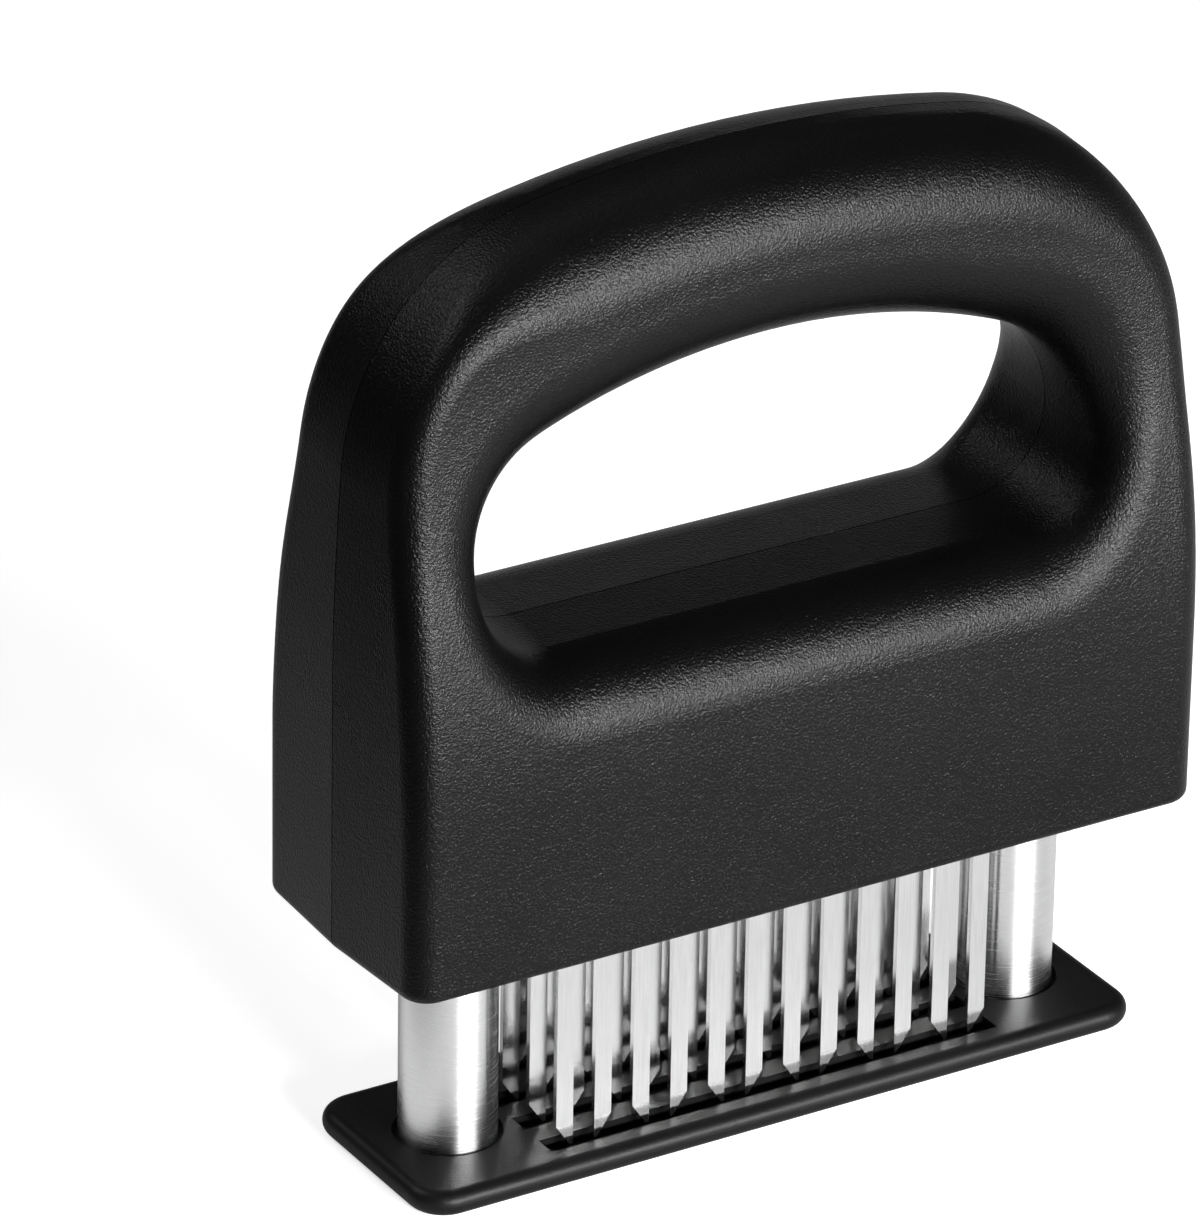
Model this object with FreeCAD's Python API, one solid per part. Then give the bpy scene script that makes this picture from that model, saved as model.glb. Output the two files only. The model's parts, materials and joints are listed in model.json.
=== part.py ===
import FreeCAD, Part
import math
import os

# A hand-held meat tenderizer: a sprung blade head with a closed grip over a slotted guard plate.
# Millimetres. X runs along the grip, Y is the depth, Z is up. The origin is the middle of the
# guard plate's underside, on which the tool stands.

# Housing and grip, at the parting plane between the two shells
housing_half_length = 59.7
housing_half_depth = 19.6
grip_half_depth = 13.3
housing_bottom = 34.0
straight_side_top = 68.0
side_radius = 470.0
shoulder_radius = 33.5
crown_radius = 170.0
crown_height = 134.2
lean_start = 58.6
lean_end = crown_height - 17.0
outer_draft_deg = 3.0
hole_draft_deg = 1.5

# Grip hole, between a thick grip and two upright arms
grip_thickness = 25.8
arm_width = 14.0
hole_bottom = 75.1
hole_top = crown_height - grip_thickness
hole_half_length = housing_half_length - arm_width
hole_lower_radius = 0.34 * (hole_top - hole_bottom)
hole_arch_height = hole_top - hole_bottom - hole_lower_radius
hole_upper_radius = 0.735 * hole_arch_height

# Soft edges of the housing
edge_radius_low = 3.9
edge_radius_side = 4.3
edge_radius_grip = 11.8
hole_edge_bottom = 10.0
hole_edge_side = 6.6
hole_edge_top = 11.4
rim_radius = 1.5

# Places of the posts, from the ends of the housing
post_inset = 17.2
post_spacing = 2 * (housing_half_length - post_inset)

# Guard plate
plate_overhang = 11.85
plate_length = post_spacing + 2 * plate_overhang
plate_depth = 31.0
plate_thickness = 3.5
plate_corner_radius = 5.2
plate_edge_radius = 1.7

# Blades
blades_in_row = 12
blade_post_gap = 11.15
blade_pitch = (post_spacing - 2 * blade_post_gap) / (blades_in_row - 1)
row_pitch = 6.75
blade_width = 2.5
blade_thickness = 0.8
blade_tip = 2.9
blade_top = 53.0
blade_point_height = 3.2
blade_flat_width = 0.3

# Blade bars and their cross pins
bar_bottom = 36.0
bar_top = 60.0
bar_end_margin = 0.7
bar_gap = 0.12
bar_clearance = 0.1
pin_radius = 2.0
pin_clearance = 0.03
pin_seat_depth = 1.9
pin_spacing = 7 * blade_pitch
pin_height = 56.8

# Posts
post_radius = 6.45
post_wall = 1.25
post_foot = 1.8
post_floor = 4.0
post_top = 46.0
post_fit = 0.05
foot_recess_width = 0.75
foot_recess_depth = 0.9
ring_thickness = 1.2
ring_outer_radius = 7.6
ring_groove_depth = 0.55
ring_top_margin = 0.6
ring_gap_deg = 50.0
ring_clearance = 0.3
ledge_gap = 0.2
bore_ceiling = 72.0

# Springs inside the posts
spring_wire = 1.0
spring_clearance = 0.4

# Foot screws
screw_radius = 1.5
screw_head_radius = 3.0
screw_head_sink = 0.3
screw_length = 4.9

# Lock slide under the plate
slide_travel = blade_pitch / 2
slide_thickness = 1.3
slide_recess_depth = 1.8
slide_sink = 0.4
slide_half_width = 12.2
slide_bevel = 0.45
slide_clearance = 0.1
slide_end_margin = 1.5
slide_end_clearance = 0.3
window_margin = 0.35
slot_width = 3.4
slot_end_margin = 1.3

# Alignment pins moulded in the front shell
dowel_radius = 1.6
dowel_length = 4.0
dowel_clearance = 0.1
dowel_inset = 5.0
dowel_heights = (44.0, 66.0)
grip_dowel_spacing = 40.0

VY = FreeCAD.Vector(0, 1, 0)
VZ = FreeCAD.Vector(0, 0, 1)


def vec(x, y, z):
    return FreeCAD.Vector(x, y, z)


def box(x0, x1, y0, y1, z0, z1):
    return Part.makeBox(x1 - x0, y1 - y0, z1 - z0, vec(x0, y0, z0))


def rod(radius, start, end):
    axis = end - start
    return Part.makeCylinder(radius, axis.Length, start, axis)


def arc_between(centre, radius, start_deg, end_deg, y):
    points = []
    for angle in (start_deg, (start_deg + end_deg) / 2, end_deg):
        turn = math.radians(angle)
        points.append(vec(centre[0] + radius * math.cos(turn), y, centre[1] + radius * math.sin(turn)))
    return Part.Arc(*points).toShape()


def circle_meet(first, first_distance, second, second_distance):
    """The upper right point at the given distances from two points."""
    dx = second[0] - first[0]
    dz = second[1] - first[1]
    apart = math.hypot(dx, dz)
    along = (apart ** 2 + first_distance ** 2 - second_distance ** 2) / (2 * apart)
    across = math.sqrt(first_distance ** 2 - along ** 2)
    middle = (first[0] + along * dx / apart, first[1] + along * dz / apart)
    choices = [(middle[0] + side * across * dz / apart, middle[1] - side * across * dx / apart)
               for side in (-1, 1)]
    return max(choices, key=lambda point: point[0] + point[1])


def heading(centre, other):
    """The direction from one point to another, in degrees above +X."""
    return math.degrees(math.atan2(other[1] - centre[1], other[0] - centre[0]))


# The housing's outline is a chain of tangent arcs: side, shoulder, crown, shoulder, side.
side_centre = (housing_half_length - side_radius, straight_side_top)
crown_centre = (0.0, crown_height - crown_radius)
shoulder_centre = circle_meet(side_centre, side_radius - shoulder_radius,
                              crown_centre, crown_radius - shoulder_radius)
side_end_deg = heading(side_centre, shoulder_centre)
crown_start_deg = heading(crown_centre, shoulder_centre)


def outer_wire(y, inset):
    """The housing's outline at one depth, drawn in by the mould's draft."""
    left_side = (-side_centre[0], side_centre[1])
    left_shoulder = (-shoulder_centre[0], shoulder_centre[1])
    half = housing_half_length - inset
    right_line = Part.makeLine(vec(half, y, housing_bottom), vec(half, y, straight_side_top))
    left_line = Part.makeLine(vec(-half, y, straight_side_top), vec(-half, y, housing_bottom))
    bottom_line = Part.makeLine(vec(-half, y, housing_bottom), vec(half, y, housing_bottom))
    side = side_radius - inset
    shoulder = shoulder_radius - inset
    crown = crown_radius - inset
    return Part.Wire([
        bottom_line,
        right_line,
        arc_between(side_centre, side, 0, side_end_deg, y),
        arc_between(shoulder_centre, shoulder, side_end_deg, crown_start_deg, y),
        arc_between(crown_centre, crown, crown_start_deg, 180 - crown_start_deg, y),
        arc_between(left_shoulder, shoulder, 180 - crown_start_deg, 180 - side_end_deg, y),
        arc_between(left_side, side, 180 - side_end_deg, 180, y),
        left_line,
    ])


# The grip hole is a flat floor with round lower corners, round upper corners and a wide arch.
hole_middle = hole_bottom + hole_lower_radius
hole_crown_radius = ((hole_arch_height ** 2 + hole_half_length ** 2
                      - 2 * hole_upper_radius * hole_half_length)
                     / (2 * (hole_arch_height - hole_upper_radius)))
hole_crown_centre = (0.0, hole_top - hole_crown_radius)
hole_upper_centre = (hole_half_length - hole_upper_radius, hole_middle)
hole_lower_centre = (hole_half_length - hole_lower_radius, hole_middle)
hole_crown_start_deg = heading(hole_crown_centre, hole_upper_centre)


def hole_wire(y, spread):
    """The grip hole's outline at one depth, opened out by the mould's draft."""
    floor = hole_bottom - spread
    lower = hole_lower_radius + spread
    upper = hole_upper_radius + spread
    crown = hole_crown_radius + spread
    start = hole_crown_start_deg
    left_upper = (-hole_upper_centre[0], hole_middle)
    left_lower = (-hole_lower_centre[0], hole_middle)
    return Part.Wire([
        Part.makeLine(vec(-hole_lower_centre[0], y, floor), vec(hole_lower_centre[0], y, floor)),
        arc_between(hole_lower_centre, lower, -90, 0, y),
        arc_between(hole_upper_centre, upper, 0, start, y),
        arc_between(hole_crown_centre, crown, start, 180 - start, y),
        arc_between(left_upper, upper, 180 - start, 180, y),
        arc_between(left_lower, lower, 180, 270, y),
    ])


def height_on(centre, radius, angle_deg):
    return centre[1] + radius * math.sin(math.radians(angle_deg))


shoulder_start_height = height_on(side_centre, side_radius, side_end_deg)
crown_start_height = height_on(crown_centre, crown_radius, crown_start_deg)
hole_crown_start_height = height_on(hole_crown_centre, hole_crown_radius, hole_crown_start_deg)


def radius_at_height(steps, height):
    """Straight between the given (height, radius) steps, and level beyond them."""
    if height <= steps[0][0]:
        return steps[0][1]
    for (low, first), (high, second) in zip(steps, steps[1:]):
        if height <= high:
            return first + (second - first) * (height - low) / (high - low)
    return steps[-1][1]


# How round the front edges are: tight beside the posts and full on the grip.
outer_steps = [(straight_side_top, edge_radius_low), (shoulder_start_height, edge_radius_side),
               (crown_start_height, edge_radius_grip)]
# How round the hole's rim is: dished below, tighter at the sides and full under the grip.
hole_steps = [(hole_bottom, hole_edge_bottom), (hole_middle, hole_edge_side),
              (hole_crown_start_height, hole_edge_top)]


def front_profile():
    """The side view of the front half: upright beside the posts, then drawn back to the grip."""
    back = housing_half_depth - grip_half_depth
    rise = (lean_end - lean_start) / 2
    bend = (rise ** 2 + (back / 2) ** 2) / back
    turn = math.asin(rise / bend)
    middle = vec(0, -(housing_half_depth - back / 2), (lean_start + lean_end) / 2)
    lower_centre = vec(0, bend - housing_half_depth, lean_start)
    upper_centre = vec(0, -grip_half_depth - bend, lean_end)
    lower_on_arc = lower_centre + vec(0, -bend * math.cos(turn / 2), bend * math.sin(turn / 2))
    upper_on_arc = upper_centre + vec(0, bend * math.cos(turn / 2), -bend * math.sin(turn / 2))
    low = vec(0, -housing_half_depth, housing_bottom)
    start = vec(0, -housing_half_depth, lean_start)
    end = vec(0, -grip_half_depth, lean_end)
    top = vec(0, -grip_half_depth, crown_height + 1)
    wire = Part.Wire([
        Part.makeLine(vec(0, 0, housing_bottom), low),
        Part.makeLine(low, start),
        Part.Arc(start, lower_on_arc, middle).toShape(),
        Part.Arc(middle, upper_on_arc, end).toShape(),
        Part.makeLine(end, top),
        Part.makeLine(top, vec(0, 0, crown_height + 1)),
        Part.makeLine(vec(0, 0, crown_height + 1), vec(0, 0, housing_bottom)),
    ])
    reach = housing_half_length + 1
    face = Part.Face(wire)
    face.translate(vec(-reach, 0, 0))
    return face.extrude(vec(2 * reach, 0, 0))


def on_front(edge):
    """Whether an edge runs along the front face's border, not across the face."""
    bounds = edge.BoundBox
    return bounds.YMax < -0.5 * grip_half_depth and bounds.ZLength > 0.001


def on_surface(edge, solid):
    """Whether the middle of an edge lies on a solid."""
    middle = edge.valueAt((edge.FirstParameter + edge.LastParameter) / 2)
    return edge.BoundBox.YMax < -0.5 * grip_half_depth and Part.Vertex(middle).distToShape(solid)[0] < 0.0001


def softened(solid, belongs, steps):
    """A solid with the edges that belong rounded by a radius that changes with height."""
    document = FreeCAD.newDocument("housing")
    base = document.addObject("Part::Feature", "base")
    base.Shape = solid
    rounding = document.addObject("Part::Fillet", "rounding")
    rounding.Base = base
    chosen = []
    for index, edge in enumerate(solid.Edges, 1):
        if belongs(edge):
            start = edge.valueAt(edge.FirstParameter)
            end = edge.valueAt(edge.LastParameter)
            chosen.append((index, radius_at_height(steps, start.z), radius_at_height(steps, end.z)))
    rounding.Edges = chosen
    document.recompute()
    soft = rounding.Shape
    FreeCAD.closeDocument("housing")
    return soft


def rounded_half():
    """The front half of the housing as one solid block with its soft edges.

    The outside and the hole are rounded on two solids, and the half is what they share."""
    draft = housing_half_depth * math.tan(math.radians(outer_draft_deg))
    hole_draft = housing_half_depth * math.tan(math.radians(hole_draft_deg))
    block = Part.makeLoft([outer_wire(0, 0), outer_wire(-housing_half_depth, draft)], True, True)
    hole = Part.makeLoft([hole_wire(0, 0), hole_wire(-housing_half_depth, hole_draft)], True, True)
    profile = front_profile()
    outside = softened(block.common(profile), on_front, outer_steps)
    pierced = softened(profile.cut(hole), lambda edge: on_surface(edge, hole), hole_steps)
    soft = outside.common(pierced)
    rim = [edge for edge in soft.Edges
           if edge.BoundBox.ZMax < housing_bottom + 0.01 and edge.BoundBox.YMin < -0.01]
    return soft.makeFillet(rim_radius, rim)


def row_places():
    return [(row - 1.5) * row_pitch for row in range(4)]


def blade_places():
    return [(place - (blades_in_row - 1) / 2) * blade_pitch for place in range(blades_in_row)]


def blade(x, y, point_left):
    """One flat blade, chisel ground across its end, with the point on one edge."""
    left = x - blade_width / 2
    right = x + blade_width / 2
    low = blade_tip
    high = blade_tip + blade_point_height
    if point_left:
        corners = [(left, low), (left + blade_flat_width, low), (right, high), (right, blade_top),
                   (left, blade_top)]
    else:
        corners = [(left, high), (right - blade_flat_width, low), (right, low), (right, blade_top),
                   (left, blade_top)]
    points = [vec(px, y - blade_thickness / 2, pz) for px, pz in corners]
    face = Part.Face(Part.makePolygon(points + points[:1]))
    return face.extrude(vec(0, blade_thickness, 0))


def blade_row(y):
    """One row of blades whose points turn right and left by turns."""
    return [blade(x, y, index % 2 == 1) for index, x in enumerate(blade_places())]


blade_span = (blades_in_row - 1) * blade_pitch + blade_width
bar_half_length = blade_span / 2 + bar_end_margin
bar_half_depth = (row_pitch - bar_gap) / 2
pocket_half_length = bar_half_length + bar_clearance
pocket_half_depth = 1.5 * row_pitch + bar_half_depth + bar_clearance
pin_half_length = pocket_half_depth + pin_seat_depth
ring_top = post_top - ring_top_margin
ring_bottom = ring_top - ring_thickness
ledge = ring_bottom - ledge_gap
plate_floor = slide_recess_depth


def blade_bar(y, blades):
    """The moulded bar that grips one row's blades, drilled for the two cross pins."""
    bar = box(-bar_half_length, bar_half_length, y - bar_half_depth, y + bar_half_depth,
              bar_bottom, bar_top)
    for side in (-1, 1):
        bar = bar.cut(rod(pin_radius + pin_clearance, vec(side * pin_spacing / 2, y - row_pitch, pin_height),
                          vec(side * pin_spacing / 2, y + row_pitch, pin_height)))
    return bar.cut(Part.makeCompound(blades))


def housing_cavity():
    """All that is hollow in the two shells: blade pocket, post bores and pin seats."""
    pocket = box(-pocket_half_length, pocket_half_length, -pocket_half_depth, pocket_half_depth,
                 housing_bottom - 1, bar_top + bar_clearance)
    tools = []
    for side in (-1, 1):
        x = side * post_spacing / 2
        tools.append(rod(post_radius + post_fit, vec(x, 0, housing_bottom - 1), vec(x, 0, ledge + 1)))
        tools.append(rod(ring_outer_radius + ring_clearance, vec(x, 0, ledge), vec(x, 0, bore_ceiling)))
        pin = side * pin_spacing / 2
        tools.append(rod(pin_radius + pin_clearance, vec(pin, -pin_half_length - bar_clearance, pin_height),
                         vec(pin, pin_half_length + bar_clearance, pin_height)))
    return pocket.fuse(tools)


def dowel_places():
    places = [(side * (housing_half_length - dowel_inset), height)
              for side in (-1, 1) for height in dowel_heights]
    grip_middle = (crown_height + hole_top) / 2 - 1.0
    places += [(side * grip_dowel_spacing / 2, grip_middle) for side in (-1, 1)]
    return places


def shells():
    half = rounded_half()
    cavity = housing_cavity()
    front = half.cut(cavity)
    rear = half.mirror(vec(0, 0, 0), VY).cut(cavity)
    for x, z in dowel_places():
        dowel = rod(dowel_radius, vec(x, -1, z), vec(x, dowel_length, z))
        socket = rod(dowel_radius + dowel_clearance, vec(x, -1, z),
                     vec(x, dowel_length + dowel_clearance, z))
        front = front.fuse(dowel)
        rear = rear.cut(socket)
    return front.removeSplitter(), rear.removeSplitter()


def post(x):
    """A deep-drawn steel tube with a thick floor, tapped for the foot screw."""
    tube = rod(post_radius, vec(x, 0, post_foot), vec(x, 0, post_top))
    tube = tube.cut(rod(post_radius - post_wall, vec(x, 0, post_foot + post_floor), vec(x, 0, post_top + 1)))
    tube = tube.cut(rod(screw_radius, vec(x, 0, 0), vec(x, 0, screw_head_sink + screw_length)))
    groove = rod(post_radius + 1, vec(x, 0, ring_bottom), vec(x, 0, ring_top))
    groove = groove.cut(rod(post_radius - ring_groove_depth, vec(x, 0, ring_bottom), vec(x, 0, ring_top)))
    return tube.cut(groove)


def retaining_ring(x):
    """The snap ring that stops the blade head at the top of its travel."""
    ring = rod(ring_outer_radius, vec(x, 0, ring_bottom), vec(x, 0, ring_top))
    ring = ring.cut(rod(post_radius - ring_groove_depth, vec(x, 0, ring_bottom - 1), vec(x, 0, ring_top + 1)))
    half_gap = math.radians(ring_gap_deg / 2)
    reach = 2 * ring_outer_radius
    corners = [vec(x, 0, ring_bottom - 1)]
    for turn in (-half_gap, half_gap):
        corners.append(vec(x + reach * math.sin(turn), reach * math.cos(turn), ring_bottom - 1))
    wedge = Part.Face(Part.makePolygon(corners + corners[:1])).extrude(vec(0, 0, ring_thickness + 2))
    return ring.cut(wedge)


def foot_screw(x):
    head_bottom = screw_head_sink
    head = Part.makeCone(screw_head_radius, screw_radius, screw_head_radius - screw_radius,
                         vec(x, 0, head_bottom), VZ)
    shank = rod(screw_radius, vec(x, 0, head_bottom), vec(x, 0, head_bottom + screw_length))
    socket = rod(screw_radius * 0.55, vec(x, 0, head_bottom), vec(x, 0, head_bottom + 0.8))
    return head.fuse(shank).cut(socket).removeSplitter()


def foot_screw_hole(x):
    """The countersunk hole under the plate that the foot screw's head seats in."""
    depth = screw_head_radius - screw_radius
    mouth = rod(screw_head_radius, vec(x, 0, -1), vec(x, 0, screw_head_sink))
    cone = Part.makeCone(screw_head_radius, screw_radius, depth, vec(x, 0, screw_head_sink), VZ)
    through = rod(screw_radius, vec(x, 0, 0), vec(x, 0, plate_thickness))
    return mouth.fuse([cone, through])


def spring(x):
    """The return spring inside a post, from its floor to the housing's ceiling."""
    outer = post_radius - post_wall - spring_clearance
    low = vec(x, 0, post_foot + post_floor)
    high = vec(x, 0, bore_ceiling)
    return rod(outer, low, high).cut(rod(outer - spring_wire, low, high))


slide_half_length = blade_span / 2 + window_margin + slide_end_margin


def slide_section(half_top, half_bottom, x0, x1, z0, z1):
    """A strip along X with bevelled long edges, wider above, so it can't drop out."""
    corners = [vec(x0, -half_bottom, z0), vec(x0, half_bottom, z0), vec(x0, half_top, z1),
               vec(x0, -half_top, z1)]
    return Part.Face(Part.makePolygon(corners + corners[:1])).extrude(vec(x1 - x0, 0, 0))


def slide_width_at(z):
    return slide_half_width + slide_bevel * z


def guard_plate():
    half_length = plate_length / 2
    half_depth = plate_depth / 2
    plate = box(-half_length, half_length, -half_depth, half_depth, 0, plate_thickness)
    upright = [edge for edge in plate.Edges if edge.BoundBox.ZLength > plate_thickness - 0.01]
    plate = plate.makeFillet(plate_corner_radius, upright)
    loops = [edge for edge in plate.Edges if edge.BoundBox.ZLength < 0.01]
    plate = plate.makeFillet(plate_edge_radius, loops)
    tools = []
    slot_half_length = blade_span / 2 + slot_end_margin
    for y in row_places():
        tools.append(box(-slot_half_length, slot_half_length, y - slot_width / 2, y + slot_width / 2,
                         -1, plate_thickness + 1))
    start = -slide_half_length - slide_end_clearance
    end = slide_half_length + slide_travel + slide_end_clearance
    tools.append(slide_section(slide_width_at(slide_recess_depth) + slide_clearance,
                               slide_width_at(-1) + slide_clearance, start, end,
                               -1, slide_recess_depth))
    for side in (-1, 1):
        x = side * post_spacing / 2
        tools.append(rod(post_radius, vec(x, 0, post_foot), vec(x, 0, plate_thickness + 1)))
        tools.append(rod(post_radius + foot_recess_width, vec(x, 0, plate_thickness - foot_recess_depth),
                         vec(x, 0, plate_thickness + 1)))
        tools.append(foot_screw_hole(x))
    for tool in tools:
        plate = plate.cut(tool)
    return plate


def lock_slide():
    """The thin window plate that slides half a pitch to cover every blade's way out."""
    z0 = slide_sink
    z1 = slide_sink + slide_thickness
    slide = slide_section(slide_width_at(z1), slide_width_at(z0), -slide_half_length,
                          slide_half_length, z0, z1)
    windows = []
    for y in row_places():
        for x in blade_places():
            windows.append(box(x - blade_width / 2 - window_margin, x + blade_width / 2 + window_margin,
                               y - blade_thickness / 2 - window_margin,
                               y + blade_thickness / 2 + window_margin, z0 - 1, z1 + 1))
    return slide.cut(Part.makeCompound(windows))


def write(name, shape):
    shape.exportStep(os.path.join("parts", name + ".step"))
    print(f"{name}: {len(shape.Solids)} solids, {shape.Volume:.1f} mm3, valid {shape.isValid()}")


os.makedirs("parts", exist_ok=True)

front_shell, rear_shell = shells()
write("front_shell", front_shell)
write("rear_shell", rear_shell)
write("guard_plate", guard_plate())
write("lock_slide", lock_slide())

for row_name, row_y in zip(("front", "front_middle", "rear_middle", "rear"), row_places()):
    row_blades = blade_row(row_y)
    write(row_name + "_blades", Part.makeCompound(row_blades))
    write(row_name + "_blade_bar", blade_bar(row_y, row_blades))

for side_name, side_sign in (("left", -1), ("right", 1)):
    post_x = side_sign * post_spacing / 2
    write(side_name + "_post", post(post_x))
    write(side_name + "_retaining_ring", retaining_ring(post_x))
    write(side_name + "_foot_screw", foot_screw(post_x))
    write(side_name + "_spring", spring(post_x))
    pin_x = side_sign * pin_spacing / 2
    write(side_name + "_cross_pin", rod(pin_radius, vec(pin_x, -pin_half_length, pin_height),
                                        vec(pin_x, pin_half_length, pin_height)))
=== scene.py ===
import json
import math

import bpy
from mathutils import Matrix, Vector


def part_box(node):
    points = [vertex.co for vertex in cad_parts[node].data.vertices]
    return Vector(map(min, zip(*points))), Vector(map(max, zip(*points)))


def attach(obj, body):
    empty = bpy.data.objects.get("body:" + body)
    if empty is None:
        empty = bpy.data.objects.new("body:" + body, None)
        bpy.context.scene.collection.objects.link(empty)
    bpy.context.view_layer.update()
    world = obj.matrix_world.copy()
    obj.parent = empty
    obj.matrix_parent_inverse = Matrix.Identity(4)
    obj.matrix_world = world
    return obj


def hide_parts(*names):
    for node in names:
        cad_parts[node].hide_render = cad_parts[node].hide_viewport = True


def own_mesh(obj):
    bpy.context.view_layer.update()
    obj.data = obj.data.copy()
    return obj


# A black blade meat tenderizer standing on its guard plate against a white ground.
# Metres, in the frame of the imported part: X along the grip, Y to the rear, Z up.

# Picture: size in pixels, and the camera that looks at the tool
picture_width = 1200
picture_height = 1219
camera_azimuth_deg = -31.484
camera_elevation_deg = 26.199
camera_roll_deg = 0.959
camera_distance = 1.26343
camera_focal_px = 9685.54
camera_sensor_mm = 36.0
camera_clip_end = 50.0
origin_px = (728.747, 1073.649)

# Ground
floor_half_size = 6.0
floor_gap = 0.0001
floor_grey = 0.94
floor_roughness = 0.9
# Floor colour seen only by glossy rays, with painted shade: it fades to dark towards negative X, darkening
# the tool's reflections on its left
floor_reflection_grey = 0.86
floor_reflection_painted_shade = 0.11
painted_shade_fade_start = -0.13
painted_shade_fade_end = -0.08
floor_glow = 0.66
ambient_strength = 0.05

# The part of a noise's range that the materials use
noise_low = 0.3
noise_high = 0.7

# Plastic
clouds_per_metre = 60.0
spark_grain_size = 0.00034
spark_grain_depth = 0.00014
housing_specular = 0.18
parting_half_width = 0.00011

# Steel of the posts
post_anisotropy = 0.9
quarter_turn = 0.25

# Return springs
spring_wire_radius = 0.00045
spring_turns = 15
spring_steps_per_turn = 20
spring_wire_sides = 8

# Colours
black = (0.0016, 0.0016, 0.0017)
plate_black = (0.003, 0.003, 0.0032)
slide_black = (0.008, 0.008, 0.009)
bar_grey = (0.012, 0.012, 0.013)
stainless = (0.96, 0.96, 0.96)
post_stainless = (0.92, 0.92, 0.93)
spring_steel = (0.5, 0.5, 0.51)

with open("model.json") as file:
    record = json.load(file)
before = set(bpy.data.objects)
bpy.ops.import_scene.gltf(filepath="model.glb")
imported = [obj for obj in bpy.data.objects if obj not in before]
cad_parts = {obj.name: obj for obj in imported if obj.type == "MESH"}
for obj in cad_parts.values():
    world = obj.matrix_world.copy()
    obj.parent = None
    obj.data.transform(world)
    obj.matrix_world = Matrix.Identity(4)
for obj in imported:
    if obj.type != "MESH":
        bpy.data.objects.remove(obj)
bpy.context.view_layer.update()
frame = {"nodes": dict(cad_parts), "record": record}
nodes = frame["nodes"]


# Materials
class Graph:
    """A material's nodes, laid out by name."""

    def __init__(self, name):
        self.material = bpy.data.materials.new(name)
        self.material.use_nodes = True
        self.tree = self.material.node_tree
        self.shader = self.tree.nodes["Principled BSDF"]

    def add(self, kind, **values):
        node = self.tree.nodes.new(kind)
        for key, value in values.items():
            setattr(node, key, value)
        return node

    def link(self, out, into):
        self.tree.links.new(out, into)

    def coordinates(self, stretch=(1.0, 1.0, 1.0)):
        place = self.add("ShaderNodeTexCoord")
        mapping = self.add("ShaderNodeMapping")
        mapping.inputs["Scale"].default_value = stretch
        self.link(place.outputs["Object"], mapping.inputs["Vector"])
        return mapping.outputs["Vector"]

    def noise(self, vector, scale, detail, roughness=0.5):
        node = self.add("ShaderNodeTexNoise")
        node.inputs["Scale"].default_value = scale
        node.inputs["Detail"].default_value = detail
        node.inputs["Roughness"].default_value = roughness
        self.link(vector, node.inputs["Vector"])
        return node.outputs["Fac"]

    def spread(self, value, low, high):
        """A noise value carried to the range from low to high."""
        node = self.add("ShaderNodeMapRange")
        node.inputs["From Min"].default_value = noise_low
        node.inputs["From Max"].default_value = noise_high
        node.inputs["To Min"].default_value = low
        node.inputs["To Max"].default_value = high
        self.link(value, node.inputs["Value"])
        return node.outputs["Result"]

    def tint(self, value, dark, light):
        """A base colour that runs from dark to light with a noise value."""
        ramp = self.add("ShaderNodeValToRGB")
        ramp.color_ramp.elements[0].position = noise_low
        ramp.color_ramp.elements[0].color = (*dark, 1.0)
        ramp.color_ramp.elements[1].position = noise_high
        ramp.color_ramp.elements[1].color = (*light, 1.0)
        self.link(value, ramp.inputs["Fac"])
        self.link(ramp.outputs["Color"], self.shader.inputs["Base Color"])

    def bump(self, height, distance):
        node = self.add("ShaderNodeBump")
        node.inputs["Distance"].default_value = distance
        self.link(height, node.inputs["Height"])
        self.link(node.outputs["Normal"], self.shader.inputs["Normal"])


def shaded(colour, factor):
    return tuple(part * factor for part in colour)


def moulded_plastic(name, colour, roughness, specular, grain_depth):
    """Moulded black plastic with a spark-eroded grain, slightly cloudy in shade and gloss."""
    graph = Graph(name)
    vector = graph.coordinates()
    grain = graph.noise(vector, 1.0 / spark_grain_size, detail=2.0, roughness=0.6)
    cloud = graph.noise(vector, clouds_per_metre, detail=2.0)
    graph.tint(cloud, shaded(colour, 0.85), shaded(colour, 1.2))
    graph.link(graph.spread(cloud, roughness - 0.02, roughness + 0.02), graph.shader.inputs["Roughness"])
    graph.shader.inputs["Specular IOR Level"].default_value = specular
    graph.bump(grain, grain_depth)
    return graph.material


def brushed_steel(name, colour, roughness, stretch, groove_depth):
    """Stainless steel with fine grooves that run along the axis stretched least."""
    graph = Graph(name)
    vector = graph.coordinates(stretch)
    grooves = graph.noise(vector, 1.0, detail=3.0, roughness=0.6)
    graph.tint(grooves, shaded(colour, 0.9), shaded(colour, 1.08))
    graph.link(graph.spread(grooves, roughness - 0.04, roughness + 0.05), graph.shader.inputs["Roughness"])
    graph.shader.inputs["Metallic"].default_value = 1.0
    graph.bump(grooves, groove_depth)
    return graph.material


def parting_line(material):
    """Darkens a housing's plastic along the thin gap where its two shells meet."""
    tree = material.node_tree
    shader = tree.nodes["Principled BSDF"]
    place = tree.nodes.new("ShaderNodeTexCoord")
    split = tree.nodes.new("ShaderNodeSeparateXYZ")
    tree.links.new(place.outputs["Object"], split.inputs["Vector"])
    depth = tree.nodes.new("ShaderNodeMath")
    depth.operation = "ABSOLUTE"
    tree.links.new(split.outputs["Y"], depth.inputs[0])
    shine = tree.nodes.new("ShaderNodeMapRange")
    shine.inputs["From Min"].default_value = parting_half_width * 0.6
    shine.inputs["From Max"].default_value = parting_half_width
    shine.inputs["To Max"].default_value = housing_specular
    tree.links.new(depth.outputs[0], shine.inputs["Value"])
    tree.links.new(shine.outputs["Result"], shader.inputs["Specular IOR Level"])


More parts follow.
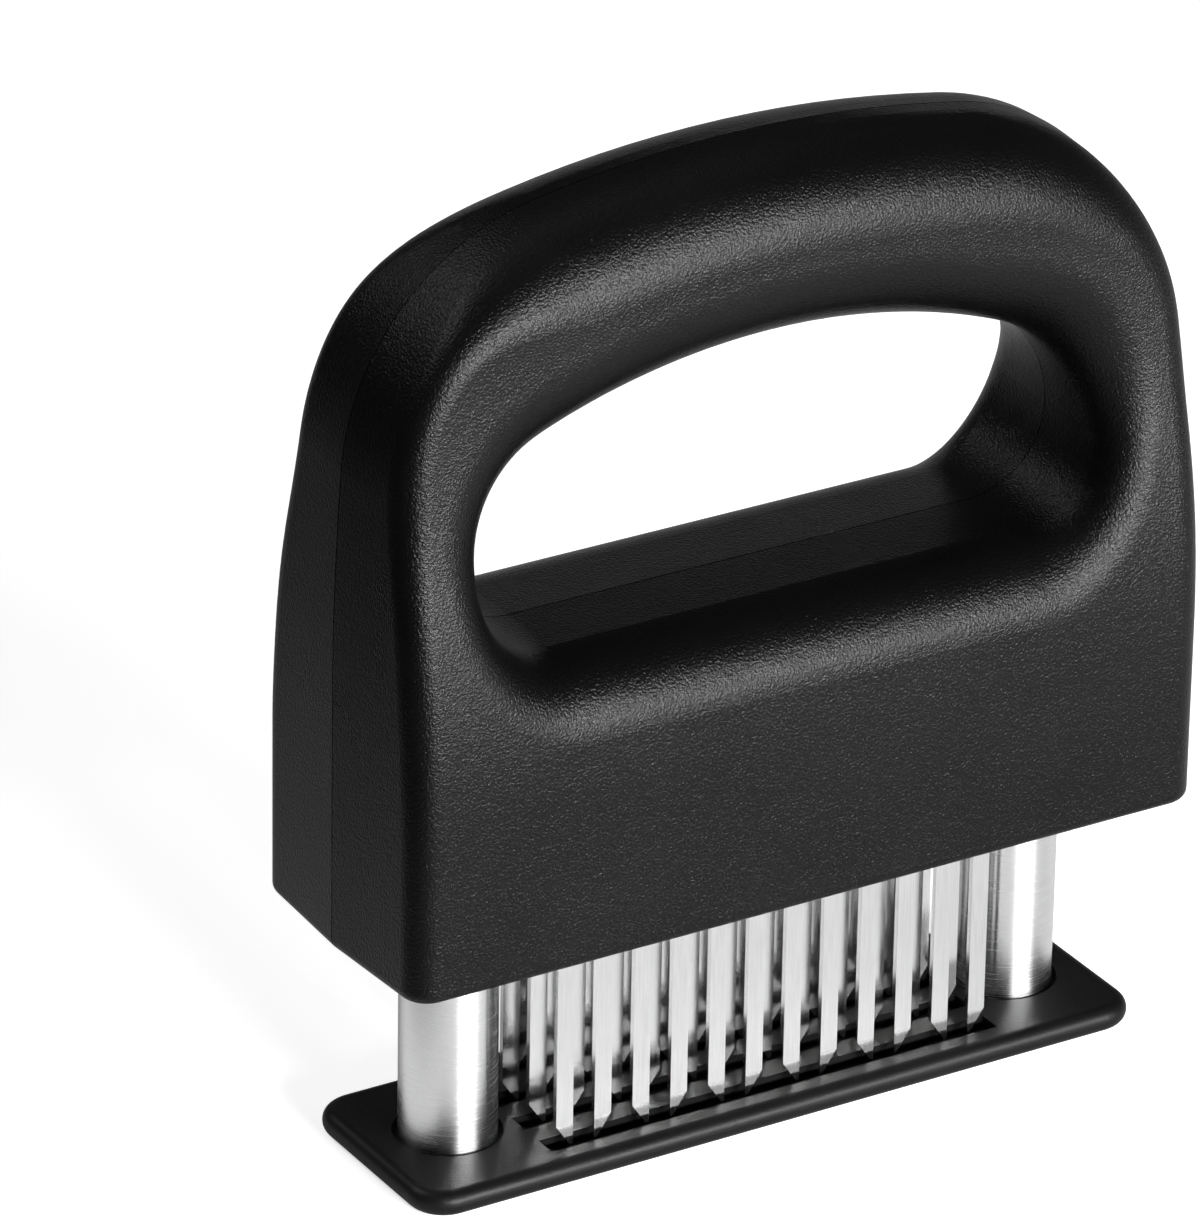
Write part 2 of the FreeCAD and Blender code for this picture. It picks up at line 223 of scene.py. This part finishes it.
def turned(material):
    """Spreads a steel's reflections along Z, as fine grooves around a tube do."""
    tree = material.node_tree
    shader = tree.nodes["Principled BSDF"]
    around = tree.nodes.new("ShaderNodeTangent")
    around.direction_type = "RADIAL"
    around.axis = "Z"
    tree.links.new(around.outputs["Tangent"], shader.inputs["Tangent"])
    shader.inputs["Anisotropic"].default_value = post_anisotropy
    shader.inputs["Anisotropic Rotation"].default_value = quarter_turn


housing = moulded_plastic("housing_black", black, roughness=0.29, specular=housing_specular,
                          grain_depth=spark_grain_depth)
parting_line(housing)
plate = moulded_plastic("plate_black", plate_black, roughness=0.45, specular=0.2, grain_depth=0.00003)
slide = moulded_plastic("slide_black", slide_black, roughness=0.45, specular=0.2, grain_depth=0.00002)
bar = moulded_plastic("bar_grey", bar_grey, roughness=0.5, specular=0.3, grain_depth=0.00002)
blade = brushed_steel("blade_stainless", stainless, roughness=0.13,
                      stretch=(9000.0, 9000.0, 200.0), groove_depth=0.0000006)
tube = brushed_steel("post_stainless", post_stainless, roughness=0.24,
                     stretch=(150.0, 150.0, 12000.0), groove_depth=0.000002)
turned(tube)
wire = brushed_steel("spring_wire", spring_steel, roughness=0.3,
                     stretch=(3000.0, 3000.0, 3000.0), groove_depth=0.000002)
fixing = brushed_steel("screw_stainless", post_stainless, roughness=0.28,
                       stretch=(5000.0, 5000.0, 5000.0), groove_depth=0.000002)

material_by_slot = {
    "housing_plastic": housing,
    "plate_plastic": plate,
    "slide_plastic": slide,
    "bar_plastic": bar,
    "blade_steel": blade,
    "post_steel": tube,
    "spring_steel": wire,
    "screw_steel": fixing,
}
for part in frame["record"]["subparts"]:
    mesh = nodes[part["node"]].data
    finish = material_by_slot[part["material_slot"]]
    if not mesh.materials:
        mesh.materials.append(finish)
    for index in range(len(mesh.materials)):
        mesh.materials[index] = finish


# Return springs
def coil(name, node):
    """A coil spring in the room of a node, held on the guard."""
    low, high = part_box(node)
    centre_x = (low[0] + high[0]) / 2
    centre_y = (low[1] + high[1]) / 2
    mean_radius = (high[0] - low[0]) / 2 - spring_wire_radius
    start = low[2] + spring_wire_radius
    rise = high[2] - low[2] - 2 * spring_wire_radius
    steps = spring_turns * spring_steps_per_turn
    points = []
    faces = []
    for step in range(steps + 1):
        turn = 2 * math.pi * step / spring_steps_per_turn
        outward = Vector((math.cos(turn), math.sin(turn), 0.0))
        middle = Vector((centre_x, centre_y, start + rise * step / steps)) + outward * mean_radius
        for side in range(spring_wire_sides):
            angle = 2 * math.pi * side / spring_wire_sides
            offset = outward * math.cos(angle) + Vector((0.0, 0.0, math.sin(angle)))
            points.append(middle + offset * spring_wire_radius)
    for step in range(steps):
        for side in range(spring_wire_sides):
            beside = (side + 1) % spring_wire_sides
            here = step * spring_wire_sides
            after = here + spring_wire_sides
            faces.append((here + side, here + beside, after + beside, after + side))
    first_end = tuple(range(spring_wire_sides))
    last_end = tuple(steps * spring_wire_sides + side for side in range(spring_wire_sides))
    faces.append(first_end[::-1])
    faces.append(last_end)
    mesh = bpy.data.meshes.new(name)
    mesh.from_pydata(points, [], faces)
    mesh.shade_smooth()
    mesh.materials.append(wire)
    piece = bpy.data.objects.new(name, mesh)
    bpy.context.collection.objects.link(piece)
    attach(piece, "guard")
    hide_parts(node)
    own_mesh(piece)


coil("left_coil", "left_spring")
coil("right_coil", "right_spring")


# Ground and backdrop
def plain_ground():
    """A pale floor, seen only from above, whose colour for glossy rays carries painted shade: darker on
    the left, so its reflection in the tool is darker there.
    """
    reach = floor_half_size
    mesh = bpy.data.meshes.new("floor")
    mesh.from_pydata([(-reach, -reach, -floor_gap), (reach, -reach, -floor_gap),
                      (reach, reach, -floor_gap), (-reach, reach, -floor_gap)], [], [(0, 1, 2, 3)])
    floor = bpy.data.objects.new("floor", mesh)
    bpy.context.collection.objects.link(floor)
    graph = Graph("floor_white")
    graph.shader.inputs["Roughness"].default_value = floor_roughness
    graph.shader.inputs["Specular IOR Level"].default_value = 0.0
    split = graph.add("ShaderNodeSeparateXYZ")
    graph.link(graph.add("ShaderNodeTexCoord").outputs["Object"], split.inputs["Vector"])
    # Painted shade: the floor's colour for glossy rays fades to dark towards negative X
    fade = graph.add("ShaderNodeMapRange")
    fade.inputs["From Min"].default_value = painted_shade_fade_start
    fade.inputs["From Max"].default_value = painted_shade_fade_end
    fade.inputs["To Min"].default_value = floor_reflection_painted_shade
    fade.inputs["To Max"].default_value = floor_reflection_grey
    graph.link(split.outputs["X"], fade.inputs["Value"])
    path = graph.add("ShaderNodeLightPath")
    shine = graph.add("ShaderNodeCombineColor")
    for channel in shine.inputs:
        graph.link(fade.outputs["Result"], channel)
    mix = graph.add("ShaderNodeMix", data_type="RGBA")
    mix.inputs["A"].default_value = (floor_grey, floor_grey, floor_grey, 1.0)
    graph.link(shine.outputs["Color"], mix.inputs["B"])
    graph.link(path.outputs["Is Glossy Ray"], mix.inputs["Factor"])
    graph.link(mix.outputs["Result"], graph.shader.inputs["Base Color"])
    from_above = graph.add("ShaderNodeMath", operation="SUBTRACT")
    from_above.inputs[0].default_value = 1.0
    graph.link(graph.add("ShaderNodeNewGeometry").outputs["Backfacing"], from_above.inputs[1])
    graph.link(from_above.outputs[0], graph.shader.inputs["Alpha"])
    glow = graph.add("ShaderNodeMath", operation="MULTIPLY")
    glow.inputs[1].default_value = floor_glow
    graph.link(path.outputs["Is Camera Ray"], glow.inputs[0])
    graph.shader.inputs["Emission Color"].default_value = (1.0, 1.0, 1.0, 1.0)
    graph.link(glow.outputs[0], graph.shader.inputs["Emission Strength"])
    mesh.materials.append(graph.material)


plain_ground()


def studio_world():
    """White to the camera, and a dim even light for everything else."""
    world = bpy.data.worlds.new("studio")
    bpy.context.scene.world = world
    world.use_nodes = True
    tree = world.node_tree
    background = tree.nodes["Background"]
    background.inputs["Color"].default_value = (1.0, 1.0, 1.0, 1.0)
    path = tree.nodes.new("ShaderNodeLightPath")
    strength = tree.nodes.new("ShaderNodeMapRange")
    strength.inputs["To Min"].default_value = ambient_strength
    strength.inputs["To Max"].default_value = 1.0
    tree.links.new(path.outputs["Is Camera Ray"], strength.inputs["Value"])
    tree.links.new(strength.outputs["Result"], background.inputs["Strength"])


studio_world()


# Lamps
def soft_box(name, place, target, width, height, power):
    """A rectangular soft light at a place, turned to face a target."""
    lamp = bpy.data.lights.new(name, "AREA")
    lamp.shape = "RECTANGLE"
    lamp.size = width
    lamp.size_y = height
    lamp.energy = power
    holder = bpy.data.objects.new(name, lamp)
    bpy.context.collection.objects.link(holder)
    holder.location = place
    holder.rotation_euler = (Vector(target) - Vector(place)).to_track_quat("-Z", "Y").to_euler()


soft_box("front_light", place=(0.22, -1.08, 0.28), target=(0.0, 0.0, 0.05),
         width=0.85, height=0.1, power=34.0)
soft_box("back_light", place=(0.62, 1.05, 0.12), target=(0.0, 0.0, 0.1),
         width=0.7, height=0.07, power=0.25)
soft_box("left_light", place=(-0.6, 0.62, 0.95), target=(0.0, 0.0, 0.1),
         width=0.35, height=0.2, power=3.4)
soft_box("top_light", place=(0.0, 0.3, 1.3), target=(0.0, 0.0, 0.0),
         width=1.0, height=0.5, power=1.2)


# Camera
def look():
    """The camera of the picture, from its angles, distance and the pixel of the tool's origin."""
    azimuth = math.radians(camera_azimuth_deg)
    elevation = math.radians(camera_elevation_deg)
    roll = math.radians(camera_roll_deg)
    back = Vector((math.sin(azimuth) * math.cos(elevation), -math.cos(azimuth) * math.cos(elevation),
                   math.sin(elevation)))
    level = Vector((math.cos(azimuth), math.sin(azimuth), 0.0))
    upright = back.cross(level)
    right = math.cos(roll) * level + math.sin(roll) * upright
    up = math.cos(roll) * upright - math.sin(roll) * level
    across = (origin_px[0] - picture_width / 2) * camera_distance / camera_focal_px
    above = -(origin_px[1] - picture_height / 2) * camera_distance / camera_focal_px
    place = back * camera_distance - right * across - up * above
    camera = bpy.data.cameras.new("camera")
    camera.sensor_fit = "HORIZONTAL"
    camera.sensor_width = camera_sensor_mm
    camera.lens = camera_focal_px / picture_width * camera_sensor_mm
    camera.clip_end = camera_clip_end
    holder = bpy.data.objects.new("camera", camera)
    bpy.context.collection.objects.link(holder)
    turned = Matrix((right, up, back)).transposed()
    holder.matrix_world = Matrix.Translation(place) @ turned.to_4x4()
    bpy.context.scene.camera = holder


look()

scene = bpy.context.scene
scene.view_settings.view_transform = "Standard"
scene.view_settings.look = "None"
